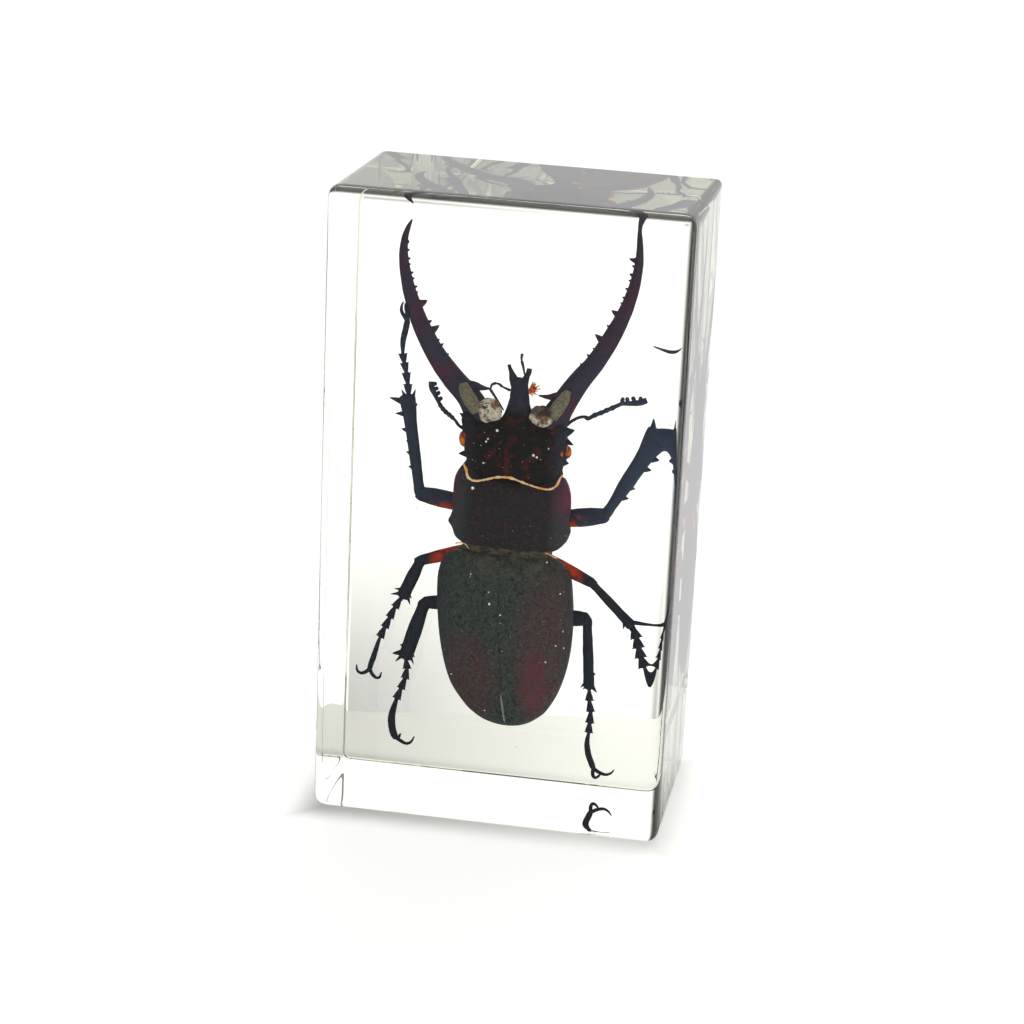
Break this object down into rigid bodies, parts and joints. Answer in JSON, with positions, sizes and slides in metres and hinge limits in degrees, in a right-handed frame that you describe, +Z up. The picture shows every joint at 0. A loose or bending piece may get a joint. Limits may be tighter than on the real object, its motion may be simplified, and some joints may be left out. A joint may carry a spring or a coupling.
{
  "type": "insect in resin block",
  "caption": "Clear rounded resin block standing on a short end, with a long-jawed stag beetle sealed upright inside it.",
  "frame": {"origin": "centre of the bottom end on which the block stands", "axes": "+Z up along the block's long side, -Y out of the front face that shows the beetle's back, +Y out of the rear face"},
  "size_m": [0.06, 0.036, 0.1085],
  "materials": {
    "chitin": "dark satin insect shell",
    "resin": "polished clear casting resin"
  },
  "bodies": {
    "root": {"stag_beetle": "chitin", "resin_front": "resin", "resin_back": "resin"}
  },
  "joints": []
}
